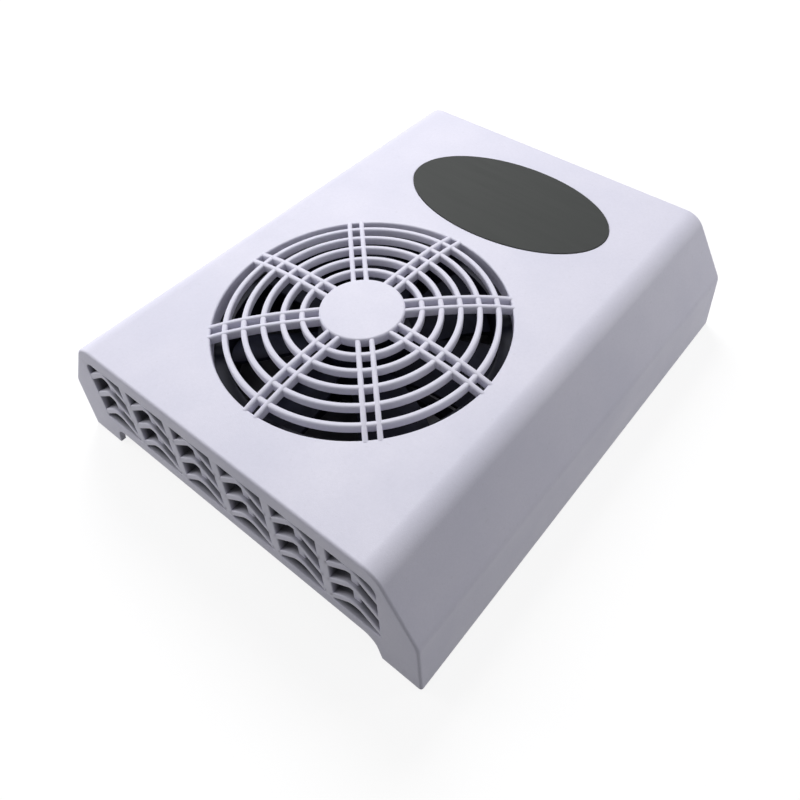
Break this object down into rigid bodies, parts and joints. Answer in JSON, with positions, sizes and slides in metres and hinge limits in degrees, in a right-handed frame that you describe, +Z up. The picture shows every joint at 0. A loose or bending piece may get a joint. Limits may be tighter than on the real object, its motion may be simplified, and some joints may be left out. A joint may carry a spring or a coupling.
{
  "type": "nail dust collector",
  "caption": "Low desktop dust collector: domed round intake grille over an axial fan, chevron outlet lattice in the front wall, oval badge, rear rocker switch.",
  "frame": {"origin": "centre of the footprint on the table, under the rubber feet", "axes": "+Z up, -Y the front with the outlet lattice, +Y the rear with the switch and the power inlet, X across"},
  "size_m": [0.1986, 0.2392, 0.0693],
  "materials": {
    "shell": "satin moulded plastic, cool lavender white",
    "badge": "satin dark grey plate",
    "base": "fine matt moulded plastic",
    "rubber": "matt black rubber",
    "fan": "black glass-filled plastic, half gloss",
    "steel": "ground steel",
    "switch": "black plastic",
    "brass": "plain brass"
  },
  "bodies": {
    "housing": {"top_shell": "shell", "oval_badge": "badge", "base_plate": "base", "rubber_foot_1": "rubber", "rubber_foot_2": "rubber", "rubber_foot_3": "rubber", "rubber_foot_4": "rubber", "fan_frame": "fan", "switch_housing": "switch", "switch_terminal_upper": "brass", "switch_terminal_lower": "brass", "inlet_socket": "switch", "inlet_pin": "brass", "inlet_nut": "switch", "inlet_lug_near": "brass", "inlet_lug_far": "brass"},
    "fan": {"fan_rotor": "fan", "fan_shaft": "steel"},
    "rocker": {"rocker_button": "switch"}
  },
  "joints": [
    {"name": "fan_spin", "type": "hinge", "parent": "housing", "child": "fan", "pos_m": [0, -0.0333, 0.045], "axis": [0, 0, 1], "continuous": true},
    {"name": "power_rocker", "type": "hinge", "parent": "housing", "child": "rocker", "pos_m": [0.028, 0.11634, 0.033], "axis": [1, 0, 0], "range_deg": [0, 18]}
  ]
}
